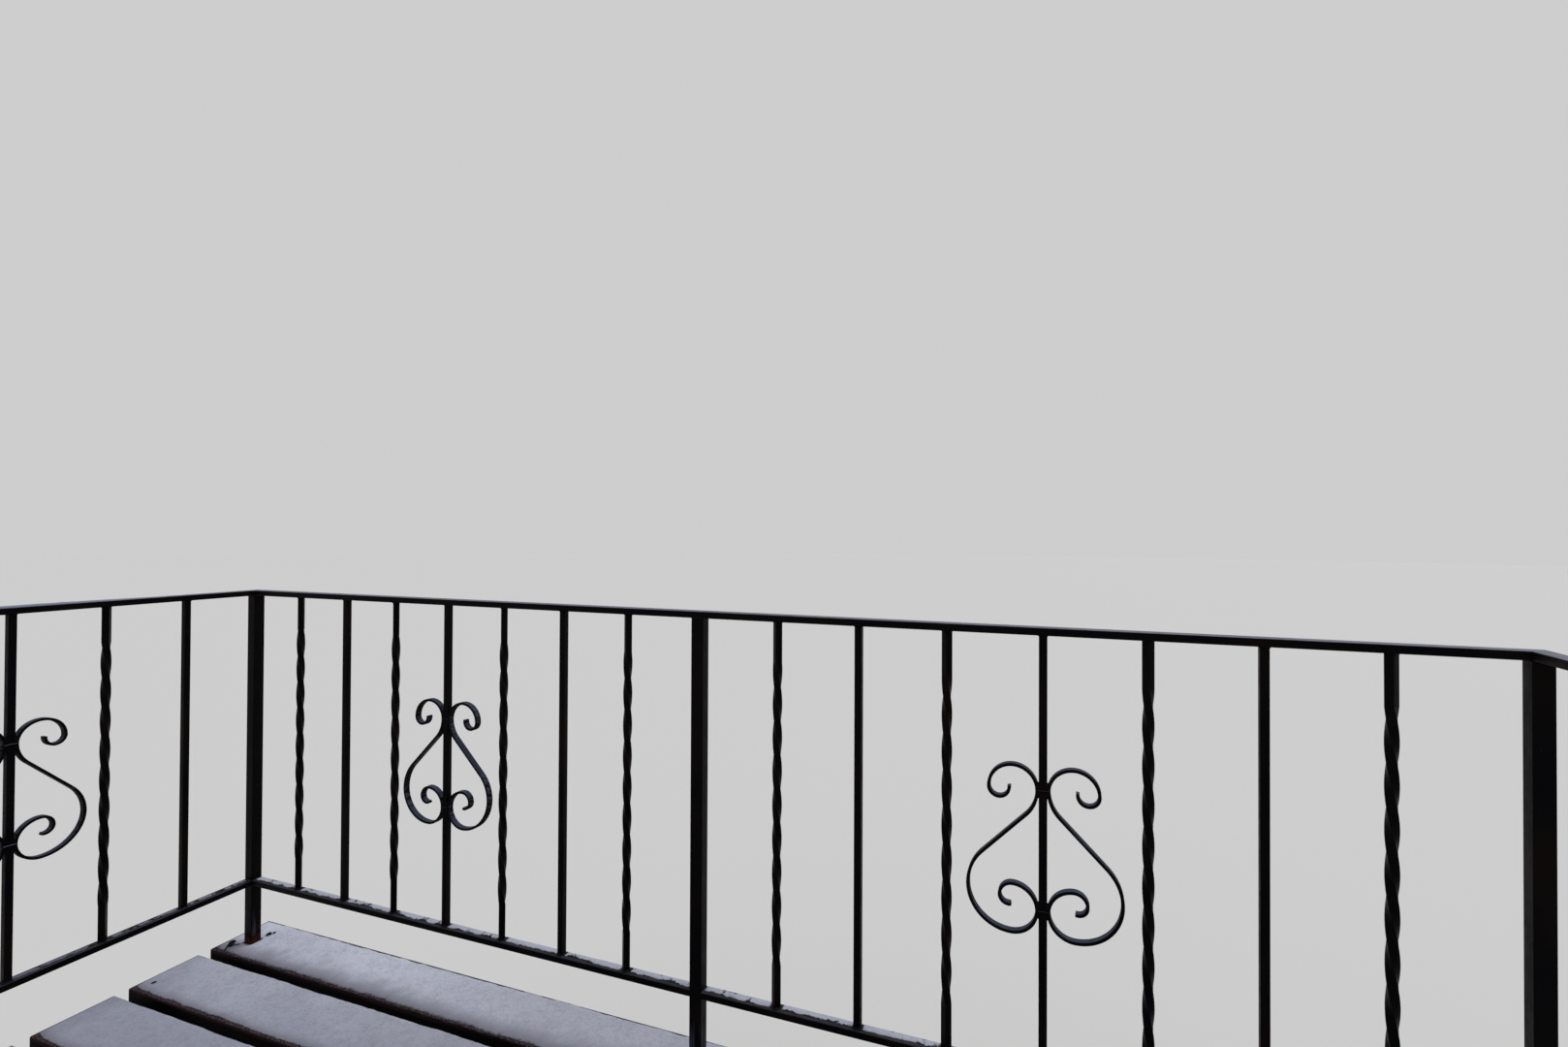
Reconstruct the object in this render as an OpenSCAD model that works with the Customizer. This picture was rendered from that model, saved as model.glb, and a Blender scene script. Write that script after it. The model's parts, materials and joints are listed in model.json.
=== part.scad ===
// Small wall-hung balcony with a wrought-iron guard and a deck of spaced planks.
// +X runs along the wall, +Y points away from it and +Z is up. The origin lies on the wall face
// of the middle bracket, level with the underside of the planks. Sizes are in millimetres.

/* [Guard] */
// Post centre to post centre along one of the two front bays
bay_w = 1298; // [1000:1:1600]
// Top of the top rail above the planks
guard_h = 914; // [850:1:1100]
// Underside of the bottom rails above the planks
bottom_gap = 152; // [60:1:200]
// Width of the square posts, with their paint, and of the rails that lie flush with them
post_w = 26; // [20:0.1:40]
// Wall thickness of the hollow posts
post_wall = 2; // [1.5:0.1:4]
// Height of the flat bar that the top and bottom rails are made of, with its paint
rail_h = 13.3; // [8:0.1:25]
// Radius of the eased edges of the rails
rail_ease = 1.6; // [0.5:0.1:3]

/* [Pickets] */
// Side of the square picket bar, with its paint
picket_w = 13.3; // [8:0.1:16]
// Pickets in each front bay, an odd number
front_pickets = 7; // [5:2:9]
// Pickets in each side return, an odd number
side_pickets = 5; // [3:2:7]
// Straight length left at each end of a twisted picket
twist_end = 78; // [30:1:150]
// Quarter turns in the length of a twisted picket
twist_quarters = 9; // [3:1:14]
// Turn of the straight ends of a twisted picket out of the panel's plane, in degrees
twist_start = 45; // [0:1:89]

/* [Scrolls] */
// Thickness of the scroll bar, with its paint
scroll_t = 5.4; // [3:0.1:8]
// Depth of the scroll bar, across the panel
scroll_d = 12.7; // [8:0.1:16]
// Distance of the upper weld on the picket below the top rail
scroll_drop = 262; // [180:1:300]
// Distance between the upper and the lower weld on the picket
scroll_span = 202; // [170:1:260]
// Radius of the upper loop
crown_r = 39.6; // [30:0.1:50]
// Radius of the curl inside the upper loop
crown_curl_r = 17; // [8:0.1:22]
// Angle that the curl turns through inside the upper loop
crown_curl_turn = 190; // [90:1:230]
// Radius of the bend below the upper weld
neck_r = 60; // [30:1:75]
// Reach of the lower bend away from the weld
belly_reach = 114; // [100:1:130]
// Radius where the long stroke swings out into the lower bend
shoulder_r = 79.7; // [50:0.1:95]
// Radius under the lower bend
belly_r = 72; // [60:1:85]
// Radius from the lower weld up to the top of the lower curl
instep_r = 40; // [30:1:45]
// Radius of the far side of the lower curl
toe_r = 21; // [16:1:26]
// Radius of the tip of the lower curl
toe_curl_r = 15; // [8:1:18]
// Angle that the tip of the lower curl turns through
toe_curl_turn = 105; // [45:1:150]

/* [Deck] */
// Width of a plank
plank_w = 152; // [90:1:200]
// Thickness of a plank
plank_t = 38; // [25:1:50]
// Open gap between planks
plank_gap = 27; // [6:1:45]
// Gap between the wall posts and the first plank
first_gap = 4; // [1:0.5:30]
// Radius of the eased edges of the planks
plank_ease = 3; // [1:0.5:6]
// Planks past the centres of the corner posts at each end
end_over = 62; // [35:1:120]
// Outer plank past the centre line of the front rail
front_over = 88; // [60:1:100]
// Clearance around a post where it passes through the outer plank
post_slot_clear = 1; // [0.5:0.1:3]

/* [Brackets] */
// Thickness of the wall legs and of the fixing plates
plate_t = 8; // [6:0.5:12]
// Width of the wall leg of a bracket
leg_w = 60; // [50:1:90]
// Length of the wall leg below the planks
leg_drop = 660; // [500:1:800]
// Width of the bracket arm
arm_w = 40; // [30:1:50]
// Height of the bracket arm
arm_h = 60; // [40:1:80]
// Wall thickness of the hollow arm
arm_wall = 3; // [2:0.1:6]
// Arm past the outer face of the front posts
arm_over = 12; // [5:1:30]
// Width and depth of the diagonal brace
brace_w = 30; // [20:1:40]
// Distance from the wall to the brace's seat under the arm
brace_reach = 700; // [500:1:800]
// Height of the brace's seat above the foot of the leg
brace_foot = 25; // [10:1:60]
// Diameter of the bolt holes in the wall legs
leg_hole_d = 13; // [8:0.5:16]
// Distance between the bolt holes of a leg
leg_hole_step = 200; // [140:1:240]
// Upper bolt hole of a leg below the planks
leg_hole_top = 110; // [90:1:160]

/* [Wall plates] */
// Width of the plates that hold the wall posts
tab_w = 84; // [70:1:120]
// Height of the plates that hold the wall posts
tab_h = 50; // [40:1:80]
// Diameter of their screw holes
tab_hole_d = 9; // [6:0.5:12]
// Distance between the two holes of a plate
tab_hole_step = 58; // [48:1:90]
// Upper plate below the top rail
tab_drop = 40; // [10:1:120]
// Middle of the lower plate above the planks
tab_rise = 150; // [80:1:300]

/* [Hidden] */

planks = 6;
slices_per_quarter = 8;
past = 1; // how far a cutter reaches past the face that it cuts
lap = 0.05; // how far the straight stroke of a scroll laps into its bends
iron = [0.07, 0.07, 0.08];
stain = [0.30, 0.24, 0.21];
$fn = 48;

deck_top = plank_t;
wall_gap = plate_t + post_w + first_gap;
deck_depth = wall_gap + planks * plank_w + (planks - 1) * plank_gap;
deck_l = 2 * (bay_w + end_over);
rail_y = deck_depth - front_over;
wall_post_y = plate_t + post_w / 2;
side_w = rail_y - wall_post_y;
rail_top = deck_top + guard_h;
post_top = rail_top - rail_h;
bottom_rail_z = deck_top + bottom_gap;
picket_z = bottom_rail_z + rail_h;
picket_l = post_top - picket_z;
arm_end = rail_y + post_w / 2 + arm_over;
upper_plate_z = post_top - tab_drop - tab_h / 2;
lower_plate_z = deck_top + tab_rise;

// Centre of picket i of n, measured from the centre of the post where the panel starts:
// all the clear gaps of a panel are equal.
function picket_gap(n, span) = (span - post_w - n * picket_w) / (n + 1);
function picket_at(n, span, i) = post_w / 2 + (i + 1) * picket_gap(n, span) + (i + 0.5) * picket_w;

// The middle picket of a panel is plain, and plain and twisted ones alternate out from it.
function is_twisted(n, i) = abs(i - (n - 1) / 2) % 2 == 1;

// Flat bar with eased edges, lying along +X from the origin, centred in Y, its underside at Z = 0
module eased_bar(l, w, h, ease) {
    rotate([90, 0, 90])
        linear_extrude(l)
            union() {
                translate([-w / 2 + ease, 0]) square([w - 2 * ease, h]);
                translate([-w / 2, ease]) square([w, h - 2 * ease]);
                for (x = [ease - w / 2, w / 2 - ease], y = [ease, h - ease])
                    translate([x, y]) circle(ease);
            }
}

// Hollow square post, standing on a bracket arm
module post() {
    color(iron)
        linear_extrude(post_top)
            difference() {
                square(post_w, center = true);
                square(post_w - 2 * post_wall, center = true);
            }
}

// Cutter for the mitre over a corner post, on the front's or on the return's side of the joint
module mitre_cutter(side, front) {
    reach = 4 * post_w;
    corner = front ? [-side * reach, reach] : [side * reach, -reach];
    translate([0, 0, -past])
        linear_extrude(rail_h + 2 * past)
            polygon([[-side * reach, -reach], [side * reach, reach], corner]);
}

// Top rail of the front, over all three posts, with a mitre at each corner post
module front_rail() {
    color(iron)
        translate([0, rail_y, post_top])
            difference() {
                translate([-bay_w - post_w / 2, 0, 0])
                    eased_bar(2 * bay_w + post_w, post_w, rail_h, rail_ease);
                for (side = [-1, 1])
                    translate([side * bay_w, 0, 0]) mitre_cutter(side, false);
            }
}

// Top rail of a side return, from its mitre over the wall post to the wall
module side_rail(side) {
    color(iron)
        translate([side * bay_w, 0, post_top])
            difference() {
                rotate([0, 0, 90])
                    eased_bar(rail_y + post_w / 2, post_w, rail_h, rail_ease);
                translate([0, rail_y, 0]) mitre_cutter(side, true);
            }
}

// Bottom rail between the faces of two posts, running along +X from the centre of the first
module bottom_rail(span) {
    color(iron)
        translate([post_w / 2, 0, bottom_rail_z])
            eased_bar(span - post_w, post_w, rail_h, rail_ease);
}

module plain_picket() {
    translate([-picket_w / 2, -picket_w / 2, 0])
        cube([picket_w, picket_w, picket_l]);
}

// Square bar, twisted hot between two straight ends
module twisted_picket() {
    twist_l = picket_l - 2 * twist_end;
    turn = 90 * twist_quarters;
    rotate([0, 0, twist_start])
        union() {
            translate([-picket_w / 2, -picket_w / 2, 0])
                cube([picket_w, picket_w, twist_end]);
            translate([0, 0, twist_end])
                linear_extrude(twist_l, twist = turn, slices = slices_per_quarter * twist_quarters, segments = 4)
                    square(picket_w, center = true);
            rotate([0, 0, -turn])
                translate([-picket_w / 2, -picket_w / 2, picket_l - twist_end])
                    cube([picket_w, picket_w, twist_end]);
        }
}

// Pickets of one panel, which runs along +X from the centre of its first post
module pickets(n, span) {
    color(iron)
        for (i = [0 : n - 1])
            translate([picket_at(n, span, i), 0, picket_z])
                if (is_twisted(n, i)) twisted_picket();
                else plain_picket();
}

// Bent piece of scroll bar: centre line of radius r round the point c, swept between two angles
module bend(c, r, from, to) {
    translate(c)
        rotate([0, 0, from])
            rotate_extrude(angle = to - from)
                translate([r - scroll_t / 2, -scroll_d / 2])
                    square([scroll_t, scroll_d]);
}

// Straight piece of scroll bar between two points of the centre line, lapped into both bends
module stroke(a, b) {
    run = b - a;
    translate(a)
        rotate([0, 0, atan2(run.y, run.x)])
            translate([-lap, -scroll_t / 2, -scroll_d / 2])
                cube([norm(run) + 2 * lap, scroll_t, scroll_d]);
}

// S-scroll right of the picket, in the XY plane: the picket's centre line is X = 0 and the
// upper weld is at Y = 0. Each bend is tangent to the next, and both welds touch the picket.
module s_scroll() {
    weld_x = (picket_w + scroll_t) / 2;
    heel_r = belly_reach - belly_r;
    belly_y = belly_r - heel_r - scroll_span;
    crown = [weld_x + crown_r, 0];
    crown_curl = [weld_x + 2 * crown_r - crown_curl_r, 0];
    neck = [weld_x + neck_r, 0];
    shoulder = [weld_x + belly_reach - shoulder_r, belly_y];
    belly = [weld_x + belly_reach - belly_r, belly_y];
    heel = [weld_x + heel_r, -scroll_span];
    instep = [weld_x + instep_r, -scroll_span];
    toe = [instep.x, instep.y + instep_r - toe_r];
    toe_curl = [toe.x + toe_r - toe_curl_r, toe.y];
    // The long stroke is the inner tangent of the neck and the shoulder.
    axis = shoulder - neck;
    lean = atan2(axis.y, axis.x) + 360 - acos((neck_r + shoulder_r) / norm(axis));
    out = [cos(lean), sin(lean)];
    union() {
        bend(crown_curl, crown_curl_r, 0, -crown_curl_turn);
        bend(crown, crown_r, 0, 180);
        bend(neck, neck_r, 180, lean);
        stroke(neck + neck_r * out, shoulder - shoulder_r * out);
        bend(shoulder, shoulder_r, 0, lean - 180);
        bend(belly, belly_r, -90, 0);
        bend(heel, heel_r, 180, 270);
        bend(instep, instep_r, 90, 180);
        bend(toe, toe_r, 0, 90);
        bend(toe_curl, toe_curl_r, 0, -toe_curl_turn);
    }
}

// Mirrored pair of scrolls on the middle picket of a panel
module scrolls(n, span) {
    color(iron)
        translate([picket_at(n, span, (n - 1) / 2), 0, post_top - scroll_drop])
            rotate([90, 0, 0])
                for (side = [0, 1])
                    mirror([side, 0, 0]) s_scroll();
}

// Plank number i from the wall. The outer one is cut out around the posts.
module plank(i) {
    color(stain)
        difference() {
            translate([-deck_l / 2, wall_gap + (i - 0.5) * plank_w + (i - 1) * plank_gap, 0])
                eased_bar(deck_l, plank_w, plank_t, plank_ease);
            if (i == planks)
                for (x = [-bay_w, 0, bay_w])
                    translate([x, rail_y, plank_t / 2])
                        cube([post_w + 2 * post_slot_clear, post_w + 2 * post_slot_clear,
                              plank_t + 2 * past], center = true);
        }
}

// Plate behind a wall post, with a screw hole on each side of it
module wall_plate(side, z) {
    color(iron)
        translate([side * bay_w, 0, z])
            difference() {
                translate([-tab_w / 2, 0, -tab_h / 2])
                    cube([tab_w, plate_t, tab_h]);
                for (x = [-tab_hole_step / 2, tab_hole_step / 2])
                    translate([x, -past, 0])
                        rotate([-90, 0, 0])
                            cylinder(h = plate_t + 2 * past, d = tab_hole_d);
            }
}

// Flat leg of a bracket, bolted to the wall
module bracket_leg() {
    color(iron)
        difference() {
            translate([-leg_w / 2, 0, -leg_drop])
                cube([leg_w, plate_t, leg_drop + deck_top]);
            for (i = [0 : 2])
                translate([0, -past, -leg_hole_top - i * leg_hole_step])
                    rotate([-90, 0, 0])
                        cylinder(h = plate_t + 2 * past, d = leg_hole_d);
        }
}

// Hollow arm under the planks, closed at its outer end
module bracket_arm() {
    color(iron)
        translate([-arm_w / 2, plate_t, -arm_h])
            difference() {
                cube([arm_w, arm_end - plate_t, arm_h]);
                translate([arm_wall, -past, arm_wall])
                    cube([arm_w - 2 * arm_wall, arm_end - plate_t - arm_wall + past, arm_h - 2 * arm_wall]);
            }
}

// Diagonal brace, cut to seat on the leg and under the arm
module bracket_brace() {
    rise = leg_drop - brace_foot - arm_h;
    run = brace_reach - plate_t;
    slope = atan2(rise, run);
    foot_l = brace_w / cos(slope);
    seat_l = brace_w / sin(slope);
    color(iron)
        translate([-brace_w / 2, 0, 0])
            rotate([90, 0, 90])
                linear_extrude(brace_w)
                    polygon([
                        [plate_t, brace_foot - leg_drop],
                        [brace_reach, -arm_h],
                        [brace_reach - seat_l, -arm_h],
                        [plate_t, brace_foot - leg_drop + foot_l]
                    ]);
}

// A panel's own +X turned to run from a corner post back to the wall
module side_panel(side) {
    translate([side * bay_w, rail_y, 0])
        rotate([0, 0, -90])
            children();
}

translate([-bay_w, rail_y, 0]) post();  // left_corner_post
translate([0, rail_y, 0]) post();  // middle_post
translate([bay_w, rail_y, 0]) post();  // right_corner_post
translate([-bay_w, wall_post_y, 0]) post();  // left_wall_post
translate([bay_w, wall_post_y, 0]) post();  // right_wall_post
front_rail();  // front_top_rail
side_rail(-1);  // left_top_rail
side_rail(1);  // right_top_rail
translate([-bay_w, rail_y, 0]) bottom_rail(bay_w);  // front_left_bottom_rail
translate([0, rail_y, 0]) bottom_rail(bay_w);  // front_right_bottom_rail
side_panel(-1) bottom_rail(side_w);  // left_bottom_rail
side_panel(1) bottom_rail(side_w);  // right_bottom_rail
translate([-bay_w, rail_y, 0]) pickets(front_pickets, bay_w);  // front_left_pickets
translate([0, rail_y, 0]) pickets(front_pickets, bay_w);  // front_right_pickets
side_panel(-1) pickets(side_pickets, side_w);  // left_pickets
side_panel(1) pickets(side_pickets, side_w);  // right_pickets
translate([-bay_w, rail_y, 0]) scrolls(front_pickets, bay_w);  // front_left_scrolls
translate([0, rail_y, 0]) scrolls(front_pickets, bay_w);  // front_right_scrolls
side_panel(-1) scrolls(side_pickets, side_w);  // left_scrolls
side_panel(1) scrolls(side_pickets, side_w);  // right_scrolls
plank(1);  // deck_plank_1
plank(2);  // deck_plank_2
plank(3);  // deck_plank_3
plank(4);  // deck_plank_4
plank(5);  // deck_plank_5
plank(6);  // deck_plank_6
wall_plate(-1, upper_plate_z);  // left_upper_wall_plate
wall_plate(-1, lower_plate_z);  // left_lower_wall_plate
wall_plate(1, upper_plate_z);  // right_upper_wall_plate
wall_plate(1, lower_plate_z);  // right_lower_wall_plate
translate([-bay_w, 0, 0]) bracket_leg();  // left_bracket_leg
bracket_leg();  // middle_bracket_leg
translate([bay_w, 0, 0]) bracket_leg();  // right_bracket_leg
translate([-bay_w, 0, 0]) bracket_arm();  // left_bracket_arm
bracket_arm();  // middle_bracket_arm
translate([bay_w, 0, 0]) bracket_arm();  // right_bracket_arm
translate([-bay_w, 0, 0]) bracket_brace();  // left_bracket_brace
bracket_brace();  // middle_bracket_brace
translate([bay_w, 0, 0]) bracket_brace();  // right_bracket_brace
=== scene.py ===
"""Looks of the wall-hung balcony: paint, stained planks, welds, fixings and a thin fall of snow."""

import json
import math
from dataclasses import dataclass, replace

import bmesh
import bpy
import numpy as np
from mathutils import Matrix, Vector

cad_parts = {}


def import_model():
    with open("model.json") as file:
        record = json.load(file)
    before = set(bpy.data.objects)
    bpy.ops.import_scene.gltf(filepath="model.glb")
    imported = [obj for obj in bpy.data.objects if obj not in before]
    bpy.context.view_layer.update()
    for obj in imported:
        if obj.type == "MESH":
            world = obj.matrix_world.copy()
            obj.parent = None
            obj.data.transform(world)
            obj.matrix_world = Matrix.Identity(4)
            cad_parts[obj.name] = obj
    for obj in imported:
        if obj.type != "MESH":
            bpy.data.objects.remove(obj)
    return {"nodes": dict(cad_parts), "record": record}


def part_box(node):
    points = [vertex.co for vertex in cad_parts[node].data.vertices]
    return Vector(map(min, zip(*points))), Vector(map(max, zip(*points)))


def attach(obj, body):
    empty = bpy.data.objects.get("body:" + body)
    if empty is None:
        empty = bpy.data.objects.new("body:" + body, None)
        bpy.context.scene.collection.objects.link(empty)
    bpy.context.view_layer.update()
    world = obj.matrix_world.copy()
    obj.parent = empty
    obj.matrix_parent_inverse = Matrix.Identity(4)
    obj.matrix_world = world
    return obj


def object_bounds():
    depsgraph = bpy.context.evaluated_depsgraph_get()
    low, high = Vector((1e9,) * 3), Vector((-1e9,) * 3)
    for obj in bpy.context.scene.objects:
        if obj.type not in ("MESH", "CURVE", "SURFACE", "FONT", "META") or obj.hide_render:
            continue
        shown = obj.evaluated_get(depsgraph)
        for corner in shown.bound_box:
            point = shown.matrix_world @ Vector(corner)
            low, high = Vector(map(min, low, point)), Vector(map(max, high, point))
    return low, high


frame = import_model()
CAD_BOX = [list(corner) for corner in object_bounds()]
NODES = frame["nodes"]

SIDES = ("left", "middle", "right")
BOTTOM_RAILS = {
    "front_left_bottom_rail": "front_left_pickets",
    "front_right_bottom_rail": "front_right_pickets",
    "left_bottom_rail": "left_pickets",
    "right_bottom_rail": "right_pickets",
}
OUTER_PLANK = "deck_plank_6"
PLANK_COUNT = 6


# Materials


def srgb(red, green, blue):
    """A colour from its 0 to 255 values, as the shader wants it."""
    parts = [c / 255 for c in (red, green, blue)]
    return [c / 12.92 if c <= 0.04045 else ((c + 0.055) / 1.055) ** 2.4 for c in parts] + [1.0]


class Look:
    """A material and the shader nodes in it.

    place is a point's position in metres, share is where the point lies in its piece's box, from
    0 to 1 on each axis, and normal is the way that the surface faces there.
    """

    def __init__(self, name, roughness, specular):
        self.material = bpy.data.materials.new(name)
        self.material.use_nodes = True
        self.tree = self.material.node_tree
        self.shader = next(n for n in self.tree.nodes if n.type == "BSDF_PRINCIPLED")
        self.shader.inputs["Roughness"].default_value = roughness
        self.shader.inputs["Specular IOR Level"].default_value = specular
        places = self.add("TexCoord")
        self.place = places.outputs["Object"]
        self.share = places.outputs["Generated"]
        self.normal = self.add("NewGeometry").outputs["Normal"]

    def add(self, kind, inputs=None, **settings):
        """A new node, with other nodes' outputs or plain values as its inputs."""
        node = self.tree.nodes.new("ShaderNode" + kind)
        for key, value in settings.items():
            setattr(node, key, value)
        for key, value in (inputs or {}).items():
            if isinstance(value, bpy.types.NodeSocket):
                self.tree.links.new(value, node.inputs[key])
            else:
                node.inputs[key].default_value = value
        return node

    def stretch(self, vector, scale):
        """A vector with each of its axes scaled by a number of its own."""
        return self.add("VectorMath", {0: vector, 1: scale}, operation="MULTIPLY").outputs[0]

    def noise(self, scale, detail=3.0, roughness=0.5, distortion=0.0):
        """Noise from 0 to 1. scale is one number, or three for noise that is stretched."""
        stretched = isinstance(scale, tuple)
        inputs = {
            "Vector": self.stretch(self.place, scale) if stretched else self.place,
            "Scale": 1.0 if stretched else scale,
            "Detail": detail,
            "Roughness": roughness,
            "Distortion": distortion,
        }
        return self.add("TexNoise", inputs).outputs[0]

    def step(self, value, low, high, start=0.0, end=1.0):
        """Start at low and end at high, which may be the smaller, with a smooth way between them."""
        inputs = {"Value": value, "From Min": low, "From Max": high, "To Min": start, "To Max": end}
        return self.add("MapRange", inputs, interpolation_type="SMOOTHSTEP").outputs[0]

    def math(self, operation, a, b=0.0):
        return self.add("Math", {0: a, 1: b}, operation=operation).outputs[0]

    def plus(self, a, b):
        return self.math("ADD", a, b)

    def times(self, a, b):
        return self.math("MULTIPLY", a, b)

    def centred(self, value):
        """A value from 0 to 1, moved down to swing about zero."""
        return self.math("SUBTRACT", value, 0.5)

    def blend(self, share, first, second):
        """The first colour where share is 0, the second where it is 1."""
        return self.add("Mix", {0: share, 6: first, 7: second}, data_type="RGBA").outputs[2]

    def axes(self, vector):
        return self.add("SeparateXYZ", {0: vector}).outputs[:3]

    def bump(self, height, distance, strength, over=None):
        """A normal with the relief of height, on top of the normal over."""
        inputs = {"Height": height, "Distance": distance, "Strength": strength}
        if over is not None:
            inputs["Normal"] = over
        return self.add("Bump", inputs).outputs[0]

    def connect(self, **sockets):
        """Links the shader's colour, roughness or normal, and gives back the finished material."""
        names = {"colour": "Base Color", "roughness": "Roughness", "normal": "Normal"}
        for key, socket in sockets.items():
            self.tree.links.new(socket, self.shader.inputs[names[key]])
        return self.material


# reflections as weak as this keep paint and stain black before the pale backdrop
WEAK_REFLECTION = 0.03

PAINT = (srgb(5, 5, 8), srgb(14, 9, 8))
BRACKET_PAINT = (srgb(16, 17, 20), srgb(30, 27, 27))
RUST = (srgb(44, 22, 17), srgb(70, 36, 27))
# painted reflection of the snow on the deck, in the paint low on the posts
SNOW_REFLECTION = srgb(50, 53, 62)

# heights of the rust and of the painted snow reflection on the posts: none at the first, all of it at the
# second
RUST_FROM_ABOVE = (0.095, 0.042)
RUST_FROM_BELOW = (0.0, 0.03)
REFLECTION_FROM_ABOVE = (0.165, 0.075)
REFLECTION_FROM_BELOW = (0.052, 0.068)
FOOT_RUST = 0.75


def snow_reflection_streaks(look, height):
    """A painted reflection of the snow on the deck, in upright streaks, on the posts just above their
    rusty feet.
    """
    band = look.times(look.step(height, *REFLECTION_FROM_ABOVE), look.step(height, *REFLECTION_FROM_BELOW))
    streaks = look.noise((130.0, 130.0, 7.0))
    return look.times(band, look.step(streaks, low=0.46, high=0.62))


def rust_cover(look, height, worn, spot_rust):
    """A tint of rust round the posts' feet, and small spots anywhere."""
    foot = look.times(look.step(height, *RUST_FROM_ABOVE), look.step(height, *RUST_FROM_BELOW))
    near_foot = look.times(foot, look.step(worn, low=0.36, high=0.58))
    spots = look.step(look.noise(64.0, detail=4.0, roughness=0.7), low=0.665, high=0.72)
    return look.math("MAXIMUM", look.times(near_foot, FOOT_RUST), look.times(spots, spot_rust))


def iron_look(name, sheen, sheen_colour, spot_rust, paint=PAINT, specular=WEAK_REFLECTION):
    """Black paint over hand-worked bar, with a painted reflection of the pale sky on what faces up, and
    near the deck rust and a painted reflection of the snow.
    """
    look = Look(name, roughness=0.42, specular=specular)
    height = look.axes(look.place)[2]
    facing_up = look.step(look.axes(look.normal)[2], low=0.45, high=0.95)
    patches = look.noise(7.0, detail=4.0)
    grit = look.noise(310.0, detail=2.0)
    worn = look.noise(38.0, detail=5.0, roughness=0.65)
    colour = look.blend(look.step(patches, low=0.38, high=0.66), *paint)
    # painted reflection of the pale sky on what faces up
    sheen_share = look.times(facing_up, look.step(worn, low=0.30, high=0.62, start=0.55 * sheen, end=sheen))
    colour = look.blend(sheen_share, colour, sheen_colour)
    # painted reflection of the snow on the deck, in streaks just above the posts' feet
    colour = look.blend(snow_reflection_streaks(look, height), colour, SNOW_REFLECTION)
    rust = rust_cover(look, height, worn, spot_rust)
    colour = look.blend(rust, colour, look.blend(grit, *RUST))
    paint_roughness = look.step(worn, low=0.3, high=0.7, start=0.36, end=0.52)
    roughness = look.plus(paint_roughness, look.times(rust, 0.35))
    hammered = look.bump(look.noise(52.0), distance=0.0009, strength=0.35)
    normal = look.bump(grit, distance=0.00018, strength=0.6, over=hammered)
    return look.connect(colour=colour, roughness=roughness, normal=normal)


UPPER_SIDE_STAIN = (srgb(22, 12, 15), srgb(46, 29, 34))
# painted shade: near black, for the sides below their upper edge between the planks
SHADED_SIDE_STAIN = (srgb(4, 2, 3), srgb(10, 6, 7))
UNDERSIDE = (srgb(48, 36, 31), srgb(96, 76, 64))
CREVICE = srgb(10, 7, 7)
# the upper edges' colour: partly worn stain, partly a painted highlight on the eased arris
WORN_HIGHLIT_EDGE = srgb(56, 40, 46)
SNOW_GRAIN = srgb(150, 153, 168)


def wood_pattern(look, grain, on_end):
    """Grain along the plank, and year rings on its ends."""
    ring_inputs = {
        "Vector": look.stretch(look.share, (0.0, 1.0, 0.27)),
        "Scale": 5.5,
        "Distortion": 2.2,
        "Detail": 2.0,
        "Detail Scale": 1.6,
    }
    rings = look.add("TexWave", ring_inputs, wave_type="RINGS", rings_direction="X").outputs[1]
    return look.add("Mix", {0: on_end, 2: grain, 3: rings}, data_type="FLOAT").outputs[0]


def worn_and_highlit_edges(look, share_y, share_z):
    """Where the stain is worn off the two long upper edges, painted lighter there also as a highlight on
    the eased arris.
    """
    off_middle = look.math("ABSOLUTE", look.centred(share_y))
    at_side = look.step(off_middle, low=0.474, high=0.492)
    rim = look.times(at_side, look.step(share_z, low=0.84, high=0.97))
    tatter = look.noise((22.0, 160.0, 160.0), detail=4.0, roughness=0.7)
    return look.times(rim, look.step(tatter, low=0.44, high=0.60, start=0.05, end=0.8))


def snow_grains(look, normal_z):
    """Single grains of snow on what faces up."""
    grains = look.step(look.noise(520.0, detail=2.0), low=0.52, high=0.60)
    facing_up = look.step(normal_z, low=0.55, high=0.95)
    return look.times(look.times(grains, facing_up), 0.28)


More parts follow.
